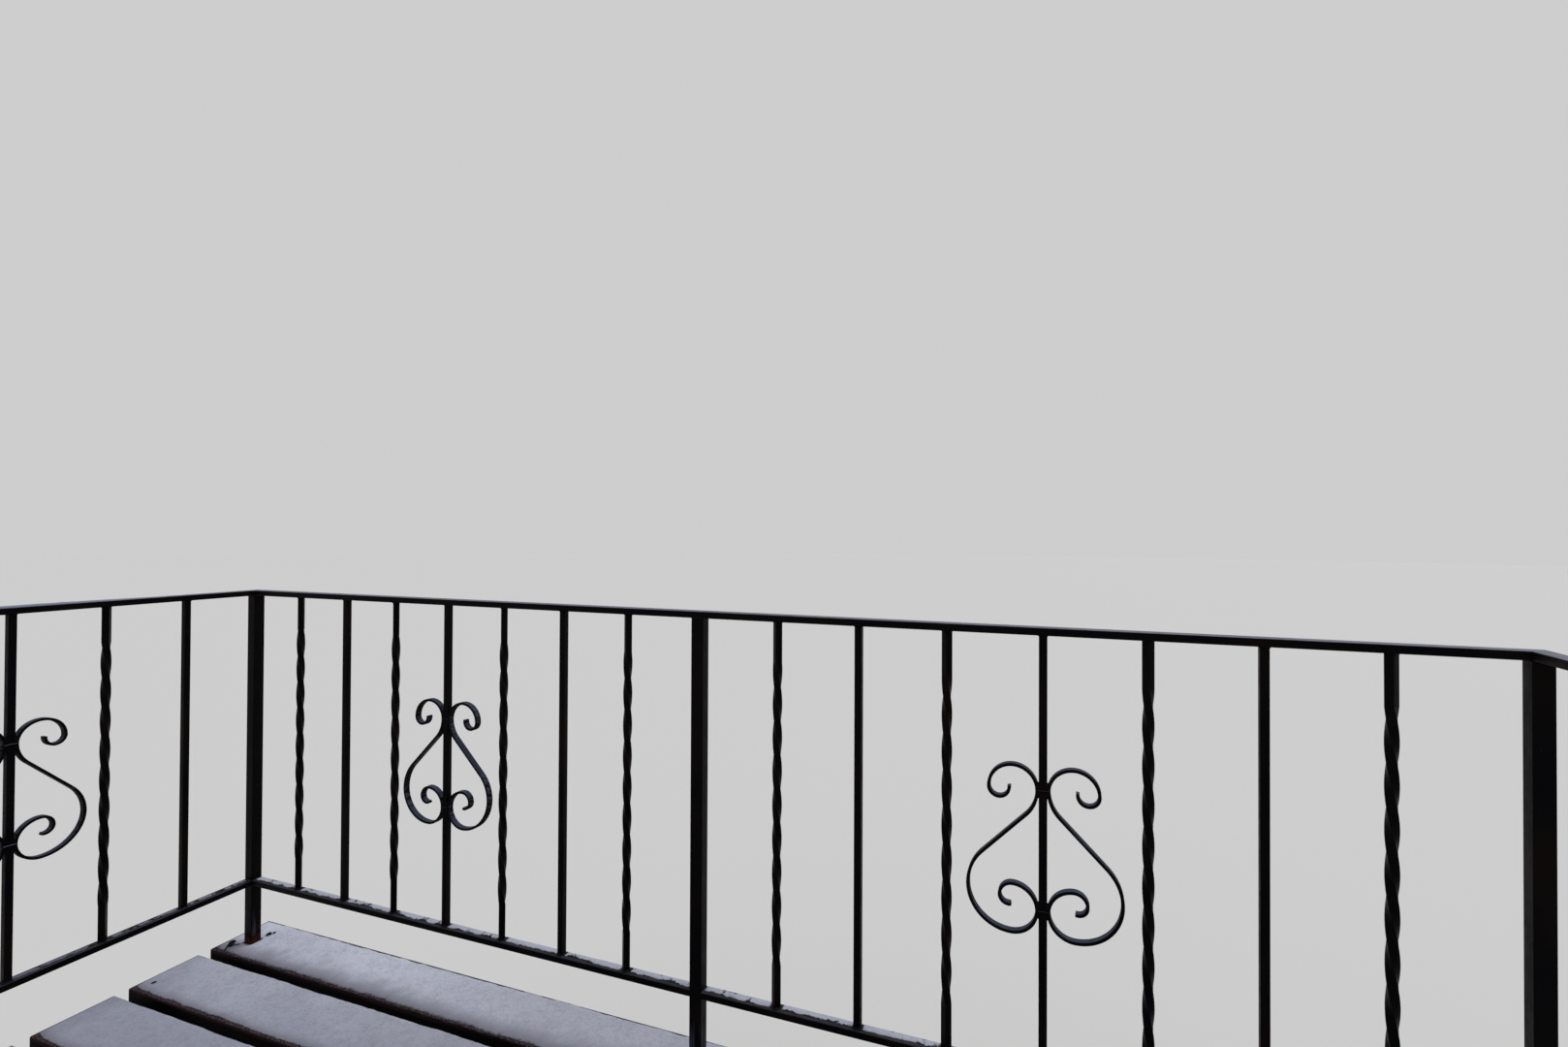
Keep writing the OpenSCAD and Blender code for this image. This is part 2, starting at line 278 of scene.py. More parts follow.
def plank_look():
    """Dark stain on sawn planks: grain along X, rings on the ends, painted shade low on the sides, worn
    and highlit upper edges, grains of snow.
    """
    look = Look("stained_plank_wood", roughness=0.75, specular=WEAK_REFLECTION)
    share_y, share_z = look.axes(look.share)[1:]
    normal_x, _, normal_z = look.axes(look.normal)
    grain = look.noise((1.6, 60.0, 60.0), detail=5.0, roughness=0.62, distortion=0.35)
    fibre = look.noise((9.0, 520.0, 520.0), roughness=0.6)
    on_end = look.step(look.math("ABSOLUTE", normal_x), low=0.6, high=0.9)
    streaks = look.step(wood_pattern(look, grain, on_end), low=0.32, high=0.7)
    # painted shade: the sides turn nearly black below their upper edge, in the shade between the planks,
    # and the ends less so
    level = look.plus(share_z, look.times(look.centred(grain), 0.5))
    level = look.plus(level, look.times(on_end, 0.5))
    shaded_side = look.blend(streaks, *SHADED_SIDE_STAIN)
    upper_side = look.blend(streaks, *UPPER_SIDE_STAIN)
    colour = look.blend(look.step(level, low=0.70, high=0.92), shaded_side, upper_side)
    # the underside is a lighter timber, sheltered from the weather
    facing_down = look.step(look.times(normal_z, -1.0), low=0.5, high=0.95)
    colour = look.blend(facing_down, colour, look.blend(streaks, *UNDERSIDE))
    colour = look.blend(look.step(fibre, low=0.5, high=0.75, end=0.5), colour, CREVICE)
    # worn stain and a painted highlight along the upper edges
    colour = look.blend(worn_and_highlit_edges(look, share_y, share_z), colour, WORN_HIGHLIT_EDGE)
    colour = look.blend(snow_grains(look, normal_z), colour, SNOW_GRAIN)
    roughness = look.step(grain, low=0.3, high=0.7, start=0.62, end=0.82)
    dents = look.bump(look.noise((4.0, 38.0, 38.0)), distance=0.0016, strength=0.6)
    height = look.plus(grain, look.times(fibre, 0.5))
    normal = look.bump(height, distance=0.0008, strength=0.8, over=dents)
    return look.connect(colour=colour, roughness=roughness, normal=normal)


SNOW_SHADE = srgb(112, 114, 130)
# painted shade: the snow turns darker towards the wall, between these distances
WALL_SHADE_SPAN = (0.64, 1.10)  # distances from the wall between which the snow's colour changes
END_TO_MIDDLE = (0.95, 0.30)  # distances from the balcony's middle between which the snow turns darker


def snow_tone(look, far, near, thin, darker_middle):
    """The colour of the snow where it lies thickest."""
    along, away, _ = look.axes(look.place)
    drift = look.noise(5.5, detail=4.0, roughness=0.55)
    away = look.plus(away, look.times(look.centred(drift), 0.35))
    # painted shade, darker towards the wall
    colour = look.blend(look.step(away, *WALL_SHADE_SPAN), near, far)
    # darker towards the balcony's middle
    worn = look.step(look.math("ABSOLUTE", along), *END_TO_MIDDLE, end=darker_middle)
    colour = look.blend(worn, colour, thin)
    speckle = look.step(look.noise(210.0, detail=4.0, roughness=0.75), low=0.56, high=0.36)
    mottle = look.step(look.noise(34.0, detail=4.0, roughness=0.7), low=0.56, high=0.36)
    shade = look.plus(look.times(speckle, 0.30), look.times(mottle, 0.14))
    return look.blend(shade, colour, SNOW_SHADE)


def snow_look(name, far, near, thin, below, cover_range, scatter, patchy=0.0, darker_middle=0.0):
    """Thin old snow: far and near are its colours at the outer plank and towards the wall, the near one
    darker as a painted shade.

    Where it gets thin it turns to the colour thin, and at its rim what lies below shows between
    the grains. scatter is how far the grains spread there, and patchy how much of it has blown off.
    darker_middle is how much darker it turns halfway along the balcony than at its ends.
    """
    look = Look(name, roughness=0.86, specular=0.15)
    thickness = look.add("Attribute", attribute_name="thickness").outputs["Fac"]
    grain = look.noise(560.0, detail=2.0)
    clump = look.noise(105.0, roughness=0.65)
    colour = snow_tone(look, far, near, thin, darker_middle)
    colour = look.blend(look.step(thickness, low=0.10, high=0.74), thin, colour)
    loose = look.math("SUBTRACT", look.plus(clump, grain), 1.0)
    cover = look.plus(thickness, look.times(loose, scatter))
    patches = look.centred(look.noise(42.0, roughness=0.6))
    cover = look.plus(cover, look.times(patches, patchy))
    colour = look.blend(look.step(cover, *cover_range), below, colour)
    lumps = look.bump(clump, distance=0.0012, strength=0.5)
    normal = look.bump(grain, distance=0.0006, strength=0.6, over=lumps)
    return look.connect(colour=colour, normal=normal)


def plain_look(name, tones, scale, roughness, specular=0.3):
    """Small fixings and litter: two tones mixed by noise, and a bump six times as fine."""
    look = Look(name, roughness=roughness, specular=specular)
    mixed = look.noise(scale, detail=4.0, roughness=0.6)
    colour = look.blend(look.step(mixed, low=0.35, high=0.65), *tones)
    fine = look.noise(6 * scale, detail=2.0)
    return look.connect(colour=colour, normal=look.bump(fine, distance=0.0003, strength=0.7))


# colours of the painted sky reflection on the ironwork's upward faces
PALE_SKY_SHEEN = srgb(112, 115, 131)
SKY_SHEEN = srgb(74, 82, 106)
# each paint's film share is how strong its painted sky reflection is
IRON = iron_look("black_satin_paint", sheen=0.16, sheen_colour=PALE_SKY_SHEEN, spot_rust=0.25)
TOP_RAIL_IRON = iron_look("black_paint_pale_sheen", sheen=0.9, sheen_colour=PALE_SKY_SHEEN, spot_rust=0.2)
SCROLL_IRON = iron_look("black_scroll_paint", sheen=0.5, sheen_colour=SKY_SHEEN, spot_rust=0.25)
BRACKET = iron_look(
    "black_bracket_paint",
    sheen=0.35,
    sheen_colour=PALE_SKY_SHEEN,
    spot_rust=0.7,
    paint=BRACKET_PAINT,
    specular=0.3,
)
PLANK = plank_look()
SNOW = snow_look(
    "thin_snow",
    far=srgb(196, 199, 215),
    near=srgb(154, 157, 175),
    thin=srgb(126, 126, 140),
    below=srgb(34, 27, 28),
    cover_range=(0.01, 0.15),
    scatter=0.22,
    darker_middle=0.44,
)
RAIL_SNOW = snow_look(
    "rail_snow",
    far=srgb(174, 177, 193),
    near=srgb(150, 150, 162),
    thin=srgb(150, 150, 162),
    below=srgb(20, 17, 20),
    cover_range=(0.18, 0.46),
    scatter=0.9,
    patchy=3.0,
)
THIN_RAIL_SNOW = snow_look(
    "thin_rail_snow",
    far=srgb(138, 141, 158),
    near=srgb(92, 95, 111),
    thin=srgb(84, 87, 102),
    below=srgb(28, 19, 21),
    cover_range=(0.18, 0.80),
    scatter=1.2,
    patchy=9.0,
)
RIDGE_SNOW = snow_look(
    "ridge_snow",
    far=srgb(132, 136, 156),
    near=srgb(132, 136, 156),
    thin=srgb(120, 124, 146),
    below=srgb(60, 60, 70),
    cover_range=(0.0, 0.06),
    scatter=0.08,
)
ZINC = (srgb(98, 96, 92), srgb(70, 58, 48))
DEAD_LEAF = (srgb(4, 4, 8), srgb(20, 16, 19))
FIXING = plain_look("dull_zinc", ZINC, scale=90.0, roughness=0.5)
LEAF = plain_look("dead_leaf", DEAD_LEAF, scale=160.0, roughness=0.75, specular=0.1)

SLOT_LOOKS = {"black_ironwork": IRON, "stained_planks": PLANK, "bracket_steel": BRACKET}


# CAD nodes: their materials, and modifiers that ease their sharp edges

WELD_DISTANCE = 1e-5
SHARP = math.radians(40)  # edges that turn by more than this are eased
EDGE_EASE = {"_post": 0.0014, "_pickets": 0.0006, "_scrolls": 0.0008}
BRACKET_EASE = 0.0011


def soften(node, width):
    """Joins a node's split vertices and, with a width, bevels its edges."""
    node.modifiers.new("weld", "WELD").merge_threshold = WELD_DISTANCE
    if width:
        bevel = node.modifiers.new("bevel", "BEVEL")
        bevel.width = width
        bevel.segments = 2
        bevel.limit_method = "ANGLE"
        bevel.angle_limit = SHARP
    node.modifiers.new("shade", "WEIGHTED_NORMAL").keep_sharp = False


def edge_ease(name):
    """The bevel width for a node: none where the CAD has eased the edges already."""
    for ending, width in EDGE_EASE.items():
        if name.endswith(ending):
            return width
    return 0 if name.endswith("_rail") or name.startswith("deck_plank") else BRACKET_EASE


def node_look(part):
    """The material of a CAD node: its slot's, or for the scrolls and top rails the black paint with a
    stronger painted sky reflection.
    """
    if part["node"].endswith("_scrolls"):
        return SCROLL_IRON
    if part["node"].endswith("_top_rail"):
        return TOP_RAIL_IRON
    return SLOT_LOOKS[part["material_slot"]]


def dress_nodes():
    for part in frame["record"]["subparts"]:
        name = part["node"]
        look = node_look(part)
        for holder in NODES[name].material_slots:
            holder.link = "OBJECT"
            holder.material = look
        soften(NODES[name], edge_ease(name))


# Helpers


def piece(name, build, material, smooth=True):
    """A new piece from a bmesh, riding on the balcony's one body."""
    mesh = bpy.data.meshes.new(name)
    build.normal_update()
    build.to_mesh(mesh)
    build.free()
    made = bpy.data.objects.new(name, mesh)
    bpy.context.scene.collection.objects.link(made)
    mesh.materials.append(material)
    if smooth:
        mesh.shade_smooth()
    else:
        mesh.shade_flat()
    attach(made, "root")
    return made


def vertices(node):
    """A CAD node's vertices, one to a row."""
    return np.array([v.co for v in NODES[node].data.vertices])


def long_axis(low, high):
    """The axis along which a level bar or a panel runs: 0 for X and 1 for Y."""
    return 0 if high[0] - low[0] > high[1] - low[1] else 1


def spans(panel):
    """A panel's axis, and the (low, high) extents of its separate bars along it."""
    points = vertices(panel)
    axis = long_axis(points.min(0), points.max(0))
    line = np.sort(points[:, axis])
    widest_bar = 0.03
    cuts = np.where(np.diff(line) > widest_bar)[0]
    starts = [line[0], *line[cuts + 1]]
    ends = [*line[cuts], line[-1]]
    return axis, list(zip(starts, ends))


def panel_point(along, place, away, height):
    """A point by its place along a panel's axis, its place across the panel, and its height."""
    return [place, away, height] if along == 0 else [away, place, height]


def lattice_noise(points, size, seed):
    """Smooth noise from -1 to 1 at 2-D points, with features about size wide."""
    spots = np.asarray(points, float) / size
    cell = np.floor(spots).astype(int)
    part = spots - cell
    part = part * part * (3 - 2 * part)
    count = 64
    table = np.random.RandomState(seed).uniform(-1, 1, (count, count))

    def at(i, j):
        return table[(cell[..., 0] + i) % count, (cell[..., 1] + j) % count]

    low = at(0, 0) * (1 - part[..., 0]) + at(1, 0) * part[..., 0]
    high = at(0, 1) * (1 - part[..., 0]) + at(1, 1) * part[..., 0]
    return low * (1 - part[..., 1]) + high * part[..., 1]


def layered_noise(points, seed, waves):
    """Noise of several sizes added up. Each of the waves is a size in metres and a weight."""
    return sum(weight * lattice_noise(points, size, seed + k) for k, (size, weight) in enumerate(waves))


# the first seed of each group of random draws, far enough apart that no group uses another's
PLANK_SNOW_SEED = 100
RAIL_SNOW_SEED = 1000
TOP_RAIL_SNOW_SEED = 2000
PICKET_WELD_SEED = 3000
FRAME_WELD_SEED = 5000
BRACKET_WELD_SEED = 6000
TWIG_SEED = 7000
SCROLL_WELD_SEED = 8000


# Snow


@dataclass
class SnowLayer:
    """How snow lies on a flat bar. In each pair the bar's edge with the lower coordinate comes first."""

    depth: float
    inset: tuple  # the least distance from the bar's edges
    ragged: tuple  # how far the snow's edges wander further in
    fade: tuple  # over what distance the snow gets thinner towards its edges
    rows: int  # of cells across the bar
    step: float  # length of a cell along the bar
    corner: float = 0.0  # how far the first edge of the snow draws back at the bar's ends
    taper: float = 0.0  # over what distance it gets thinner towards the far end

    def flipped(self):
        """The same layer with the bar's two edges changed over."""
        return replace(self, inset=self.inset[::-1], ragged=self.ragged[::-1], fade=self.fade[::-1])


PLANK_LAYER = SnowLayer(
    depth=0.0028,
    inset=(0.0036, 0.0006),
    ragged=(0.0060, 0.0030),
    fade=(0.0180, 0.0016),
    rows=28,
    step=0.006,
    corner=0.007,
)
OUTER_PLANK_LAYER = replace(
    PLANK_LAYER,
    inset=(0.0022, 0.0026),
    ragged=(0.0050, 0.0050),
    fade=(0.0500, 0.0018),
)
FRONT_RAIL_LAYER = SnowLayer(
    depth=0.0018,
    inset=(0.0062, 0.0006),
    ragged=(0.0044, 0.0010),
    fade=(0.0034, 0.0010),
    rows=10,
    step=0.004,
)
SIDE_RAIL_LAYER = replace(
    FRONT_RAIL_LAYER,
    depth=0.0009,
    inset=(0.0075, 0.0030),
    ragged=(0.0040, 0.0016),
    fade=(0.0030, 0.0016),
)
TOP_RAIL_LAYER = SnowLayer(
    depth=0.0055,
    inset=(0.0008, 0.0008),
    ragged=(0.0010, 0.0010),
    fade=(0.0012, 0.0012),
    rows=12,
    step=0.004,
    taper=0.25,
)
TOP_RAIL_SNOW_END = 0.80  # from the wall
CORNER_REACH = 0.025  # how far from a bar's end the snow's edge draws back
SNOW_SINK = 0.0004  # how far the slab's rim and underside lie in the bar below
EDGE_WAVES = ((0.09, 0.35), (0.021, 0.3), (0.008, 0.2))
LUMP_WAVES = ((0.07, 0.12), (0.022, 0.10), (0.009, 0.08))


def wander(place, seed):
    """How far in the snow's edge lies at each place along it, as a share of its raggedness."""
    least = 0.02
    middle = 0.45
    most = 1.6
    line = np.stack([place, np.zeros_like(place)], -1)
    return np.clip(middle + layered_noise(line, seed, EDGE_WAVES), least, most)


def fade_in(distance, reach):
    """0 at an edge, and nearly 1 a few times reach away from it."""
    return 1 - np.exp(-distance / reach)


def from_ends(place):
    """How far each place of a grid is from the nearer end of the bar."""
    return np.minimum(place - place[0], place[-1] - place)


def edge_radius(node, along):
    """The radius to which a bar's long upper edges are eased."""
    points = vertices(node)
    low, high = points.min(0), points.max(0)
    flat = points[np.abs(points[:, 2] - high[2]) < WELD_DISTANCE]
    return flat[:, 1 - along].min() - low[1 - along]


def eased_top(where, low, high, top, ease):
    """The height of a bar's top at places across it, between its edges low and high."""
    past_flat = np.clip(ease - np.minimum(where - low, high - where), 0, ease)
    return top - ease + np.sqrt(ease**2 - past_flat**2)


def slab_grid(along, low, high, layer, seed):
    """A grid over the snow on a bar: places along it and across it, and the snow's two edges."""
    across = 1 - along
    count = max(4, round((high[along] - low[along]) / layer.step))
    length = np.linspace(low[along], high[along], count + 1)
    share = 0.5 - 0.5 * np.cos(np.linspace(0, math.pi, layer.rows + 1))
    place, share = np.meshgrid(length, share, indexing="ij")
    near = low[across] + layer.inset[0] + layer.ragged[0] * wander(place, seed)
    near += layer.corner * np.exp(-from_ends(place) / CORNER_REACH)
    far = high[across] - layer.inset[1] - layer.ragged[1] * wander(place, seed + 3)
    return place, near + (far - near) * share, near, far


def slab_thickness(place, where, near, far, layer, seed):
    """How thick the snow lies over the grid, as a share of the layer's depth."""
    thick = fade_in(where - near, layer.fade[0])
    thick *= fade_in(far - where, layer.fade[1])
    thick *= fade_in(from_ends(place), min(layer.fade))
    if layer.taper:
        thick *= fade_in(place[-1] - place, layer.taper)
    least = 0.15
    middle = 0.86
    most = 1.3
    lumps = layered_noise(np.stack([place, where], -1), seed + 7, LUMP_WAVES)
    return thick * np.clip(middle + lumps, least, most)


def cells_off_holes(place, where, along, holes):
    """Which cells of the grid are kept: those whose middle is in no hole."""
    middle_place = (place[:-1, :1] + place[1:, :1]) / 2
    middle_where = (where[:-1, :-1] + where[1:, 1:]) / 2
    keep = np.ones(middle_where.shape, bool)
    for low, high in holes:
        in_length = (middle_place > low[along]) & (middle_place < high[along])
        in_width = (middle_where > low[1 - along]) & (middle_where < high[1 - along])
        keep &= ~(in_length & in_width)
    return keep


def close_slab(build, points, thick, keep, along):
    """Faces on the kept cells and a flat underside, with the thickness kept at each vertex."""
    layers = build.verts.layers.float
    thickness = layers.get("thickness") or layers.new("thickness")
    made = {}

    def corner(i, j):
        if (i, j) not in made:
            made[i, j] = build.verts.new(points[i, j])
            made[i, j][thickness] = float(thick[i, j])
        return made[i, j]

    faces = []
    for i, j in np.argwhere(keep):
        ring = [corner(i, j), corner(i + 1, j), corner(i + 1, j + 1), corner(i, j + 1)]
        faces.append(build.faces.new(ring if along == 0 else ring[::-1]))
    edges = list({edge for face in faces for edge in face.edges if edge.is_boundary})
    bmesh.ops.triangle_fill(build, use_beauty=True, edges=edges, normal=(0, 0, -1))


def snow_slab(build, along, low, high, ease, layer, seed, holes=()):
    """A thin closed slab of snow on a flat bar's top, with its thickness kept at each vertex.

    along is the bar's axis. low and high are the corners of the stretch of bar under it, and ease
    is the radius of that bar's upper edges, which the snow follows down.
    """
    across = 1 - along
    place, where, near, far = slab_grid(along, low, high, layer, seed)
    keep = cells_off_holes(place, where, along, holes)
    # every vertex on an open edge goes down to the bar
    rim = np.ones(where.shape, bool)
    rim[1:-1, 1:-1] = ~(keep[:-1, :-1] & keep[1:, :-1] & keep[:-1, 1:] & keep[1:, 1:])
    thick = np.where(rim, 0.0, slab_thickness(place, where, near, far, layer, seed))
    surface = eased_top(where, low[across], high[across], high[2], ease)
    height = np.where(rim, surface - SNOW_SINK, surface + layer.depth * thick)
    points = np.zeros((*where.shape, 3))
    points[..., along] = place
    points[..., across] = where
    points[..., 2] = height
    close_slab(build, points, thick, keep, along)


def plank_snow():
    posts = ("left_corner_post", "middle_post", "right_corner_post")
    cutouts = [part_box(post) for post in posts]
    from_end = Vector((0.0012, 0, 0))
    for index in range(1, PLANK_COUNT + 1):
        plank = f"deck_plank_{index}"
        outer = plank == OUTER_PLANK
        low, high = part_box(plank)
        low, high = low + from_end, high - from_end
        layer = OUTER_PLANK_LAYER if outer else PLANK_LAYER
        holes = cutouts if outer else ()
        build = bmesh.new()
        snow_slab(build, 0, low, high, edge_radius(plank, 0), layer, PLANK_SNOW_SEED * index, holes)
        piece(f"snow_on_plank_{index}", build, SNOW)


def rail_snow():
    """Patches of snow on the bottom rails, between one picket and the next, towards the outer edge."""
    off_picket = 0.0012
    for number, (rail, pickets) in enumerate(BOTTOM_RAILS.items()):
        low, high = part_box(rail)
        along, bars = spans(pickets)
        ease = edge_radius(rail, along)
        front = rail.startswith("front")
        layer = FRONT_RAIL_LAYER if front else SIDE_RAIL_LAYER
        # the left return's outer edge is the one with the lower coordinate
        if rail == "left_bottom_rail":
            layer = layer.flipped()
        stops = [low[along], *[edge for bar in bars for edge in bar], high[along]]
        build = bmesh.new()
        for gap in range(0, len(stops), 2):
            start, end = low.copy(), high.copy()
            start[along], end[along] = stops[gap] + off_picket, stops[gap + 1] - off_picket
            snow_slab(build, along, start, end, ease, layer, RAIL_SNOW_SEED + 50 * number + gap)
        look = RAIL_SNOW if front else THIN_RAIL_SNOW
        piece(f"snow_on_{rail}", build, look)


def top_rail_snow():
    """A thin ridge on the top rails of the returns, where the wall has sheltered it."""
    for number, rail in enumerate(("left_top_rail", "right_top_rail")):
        low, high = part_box(rail)
        # past the mitre the box is wider than the bar
        high.y = TOP_RAIL_SNOW_END
        seed = TOP_RAIL_SNOW_SEED + 50 * number
        build = bmesh.new()
        snow_slab(build, 1, low, high, edge_radius(rail, 1), TOP_RAIL_LAYER, seed)
        piece(f"snow_on_{rail}", build, RIDGE_SNOW)


# Welds

BEAD_SIDES = 6
BEAD_SWELL = 0.22  # how much a bead's radius varies, as a share of it
BEAD_DRIFT = 0.12  # how far its middle strays, as a share of the radius
BEAD_TIP = 0.45  # the radius at the ends of an open bead, as a share of it
PLAIN_REACH = 0.0145  # a picket that reaches further along its panel is a twisted one, set cornerwise
SCROLL_BAR = 0.0054
SEAT_BEND = 0.040  # radius on which a scroll bends away from the picket at its seats
SEAM_HALF = 0.0120  # half the length of a bead up a seat's seam


def bead(build, path, radius, seed, closed=True):
    """A lumpy weld bead along a path of points."""
    draw = np.random.RandomState(seed)
    points = [Vector(p) for p in path]
    count = len(points)
    rings = []
    for i, point in enumerate(points):
        before = points[i - 1] if closed or i else point
        after = points[(i + 1) % count] if closed or i < count - 1 else point
        line = (after - before).normalized()
        side = line.cross(Vector((0, 0, 1)))
        upright = side.length < 0.4
        side = line.orthogonal().normalized() if upright else side.normalized()
        up = side.cross(line).normalized()
        size = radius * (1 + draw.uniform(-BEAD_SWELL, BEAD_SWELL))
        if not closed and i in (0, count - 1):
            size *= BEAD_TIP
        middle = point + Vector(draw.uniform(-BEAD_DRIFT, BEAD_DRIFT, 3)) * radius
        angles = [2 * math.pi * k / BEAD_SIDES for k in range(BEAD_SIDES)]
        ring = [middle + size * (math.cos(a) * side + math.sin(a) * up) for a in angles]
        rings.append([build.verts.new(p) for p in ring])
    for i in range(count if closed else count - 1):
        a, b = rings[i], rings[(i + 1) % count]
        for k in range(BEAD_SIDES):
            build.faces.new((a[k], b[k], b[(k + 1) % BEAD_SIDES], a[(k + 1) % BEAD_SIDES]))
    if not closed:
        build.faces.new(rings[0])
        build.faces.new(rings[-1][::-1])


def box_path(axis, at, low, high, per_side=4):
    """Points round a bar's section, in the plane where that axis has the value at."""
    others = [k for k in range(3) if k != axis]
    corners = [(low[0], low[1]), (high[0], low[1]), (high[0], high[1]), (low[0], high[1])]
    path = []
    for a, b in zip(corners, corners[1:] + corners[:1]):
        for k in range(per_side):
            t = (k + 0.5) / per_side
            point = [0.0, 0.0, 0.0]
            point[axis] = at
            point[others[0]] = a[0] + (b[0] - a[0]) * t
            point[others[1]] = a[1] + (b[1] - a[1]) * t
            path.append(point)
    return path


def picket_path(centre, half, turn):
    """Points round a square picket at a point of its axis. The picket may be set cornerwise."""
    spin = Matrix.Rotation(turn, 3, "Z")
    ring = box_path(2, 0.0, (-half, -half), (half, half), 5)
    return [Vector(centre) + spin @ Vector(p) for p in ring]


def picket_welds():
    """Beads round both ends of every picket."""
    radius = 0.0019
    sunk = 0.0004
    for number, (rail, pickets) in enumerate(BOTTOM_RAILS.items()):
        along, bars = spans(pickets)
        low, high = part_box(pickets)
        away = (low[1 - along] + high[1 - along]) / 2
        half = min(end - start for start, end in bars) / 2
        build = bmesh.new()
        for k, (start, end) in enumerate(bars):
            turn = math.radians(45) if end - start > PLAIN_REACH else 0.0
            for at_top, height in enumerate((low.z + sunk, high.z - sunk)):
                centre = panel_point(along, (start + end) / 2, away, height)
                seed = PICKET_WELD_SEED + 400 * number + 10 * k + at_top
                bead(build, picket_path(centre, half, turn), radius, seed)
        piece(f"{pickets}_welds", build, IRON)


def seat_heights(points, off):
    """The heights of a scroll pair's lower and upper seats, where it comes nearest to its picket."""
    touching = 0.00005
    seat_z = points[off < off.min() + touching][:, 2]
    upper = seat_z > seat_z.mean()
    return seat_z[~upper].mean(), seat_z[upper].mean()


def seam_path(along, centre, off, face, height):
    """Up the seam of a seat, which opens at both ends. off is its place from the picket's centre."""
    path = []
    for rise in np.linspace(-SEAM_HALF, SEAM_HALF, 11):
        half_gap = rise**2 / (4 * SEAT_BEND)
        place = centre + off + math.copysign(half_gap, off)
        path.append(panel_point(along, place, face, height + rise))
    return path


def run_path(along, centre, reach, face, height):
    """Straight across a picket and the two scrolls on it."""
    places = centre + np.linspace(-reach, reach, 9)
    return [panel_point(along, place, face, height) for place in places]


def scroll_welds():
    """Beads up both seams of each scroll's seats, and a run across the picket on the room side."""
    seam_radius = 0.0016
    run_radius = 0.0021
    sunk = 0.0009
    for number, pickets in enumerate(BOTTOM_RAILS.values()):
        panel = pickets.removesuffix("_pickets")
        along, bars = spans(pickets)
        centre = sum(bars[len(bars) // 2]) / 2
        low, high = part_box(f"{panel}_scrolls")
        near, far = low[1 - along], high[1 - along]
        room_face = far if panel == "left" else near
        points = vertices(f"{panel}_scrolls")
        off = np.abs(points[:, along] - centre)
        seat = off.min()
        seams, runs = bmesh.new(), bmesh.new()
        for level, height in enumerate(seat_heights(points, off)):
            seed = SCROLL_WELD_SEED + 100 * number + 10 * level
            for k, face in enumerate((near + sunk, far - sunk)):
                for side in (0, 1):
                    path = seam_path(along, centre, seat if side else -seat, face, height)
                    bead(seams, path, seam_radius, seed + 2 * k + side, closed=False)
            path = run_path(along, centre, seat + SCROLL_BAR, room_face, height)
            bead(runs, path, run_radius, seed + 5, closed=False)
        piece(f"{panel}_scroll_welds", seams, IRON)
        # painted reflection: only the left return's runs get the pale sky sheen
        look = TOP_RAIL_IRON if panel == "left" else IRON
        piece(f"{panel}_scroll_weld_runs", runs, look)


def frame_welds():
    """Beads where the bottom rails meet the posts, and round the tops of the posts."""
    butt_radius = 0.0018
    top_radius = 0.0016
    inset = 0.0006
    seed = FRAME_WELD_SEED
    build = bmesh.new()
    for rail in BOTTOM_RAILS:
        low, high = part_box(rail)
        axis = long_axis(low, high)
        other = 1 - axis
        section = (low[other] + inset, low.z + inset), (high[other] - inset, high.z - inset)
        for at in (low[axis], high[axis]):
            seed += 1
            bead(build, box_path(axis, at, *section), butt_radius, seed)
    for name in NODES:
        if name.endswith("_post"):
            low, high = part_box(name)
            seed += 1
            section = (low.x + inset, low.y + inset), (high.x - inset, high.y - inset)
            bead(build, box_path(2, high.z - inset / 2, *section, 5), top_radius, seed)
    piece("frame_welds", build, IRON)


def bracket_welds():
    """Beads round the arm's root, the brace's foot and the brace's seat."""
    radius = 0.0032
    per_side = 7
    inset = 0.0008
    sunk = 0.0006
    for number, side in enumerate(SIDES):
        arm_low, arm_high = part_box(f"{side}_bracket_arm")
        low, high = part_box(f"{side}_bracket_brace")
        points = vertices(f"{side}_bracket_brace")
        foot = points[np.abs(points[:, 1] - low.y) < WELD_DISTANCE]
        seat = points[np.abs(points[:, 2] - high.z) < WELD_DISTANCE]
        x_low, x_high = low.x + inset, high.x - inset
        root = (arm_low.x + inset, arm_low.z + inset), (arm_high.x - inset, arm_high.z - inset)
        foot_section = (x_low, foot[:, 2].min() + inset), (x_high, foot[:, 2].max() - inset)
        seat_section = (x_low, seat[:, 1].min() + inset), (x_high, seat[:, 1].max() - inset)
        rings = (
            box_path(1, arm_low.y + sunk, *root, per_side),
            box_path(1, low.y + sunk, *foot_section, per_side),
            box_path(2, high.z - sunk, *seat_section, per_side),
        )
        build = bmesh.new()
        for k, ring in enumerate(rings):
            bead(build, ring, radius, BRACKET_WELD_SEED + 10 * k + number)
        piece(f"{side}_bracket_welds", build, BRACKET)


# Bolts and screws


@dataclass
class Bolt:
    """A hexagon head on a round washer."""

    across_flats: float
    head: float
    washer_r: float
    washer_t: float


ANCHOR = Bolt(across_flats=0.019, head=0.0075, washer_r=0.012, washer_t=0.0025)
COACH_SCREW = Bolt(across_flats=0.013, head=0.0055, washer_r=0.0095, washer_t=0.0018)
WASHER_SIDES = 32
HEAD_TURN = 0.2  # radians that the head stands turned
CROWN = 0.88  # how wide the head's flat top is, as a share of the head


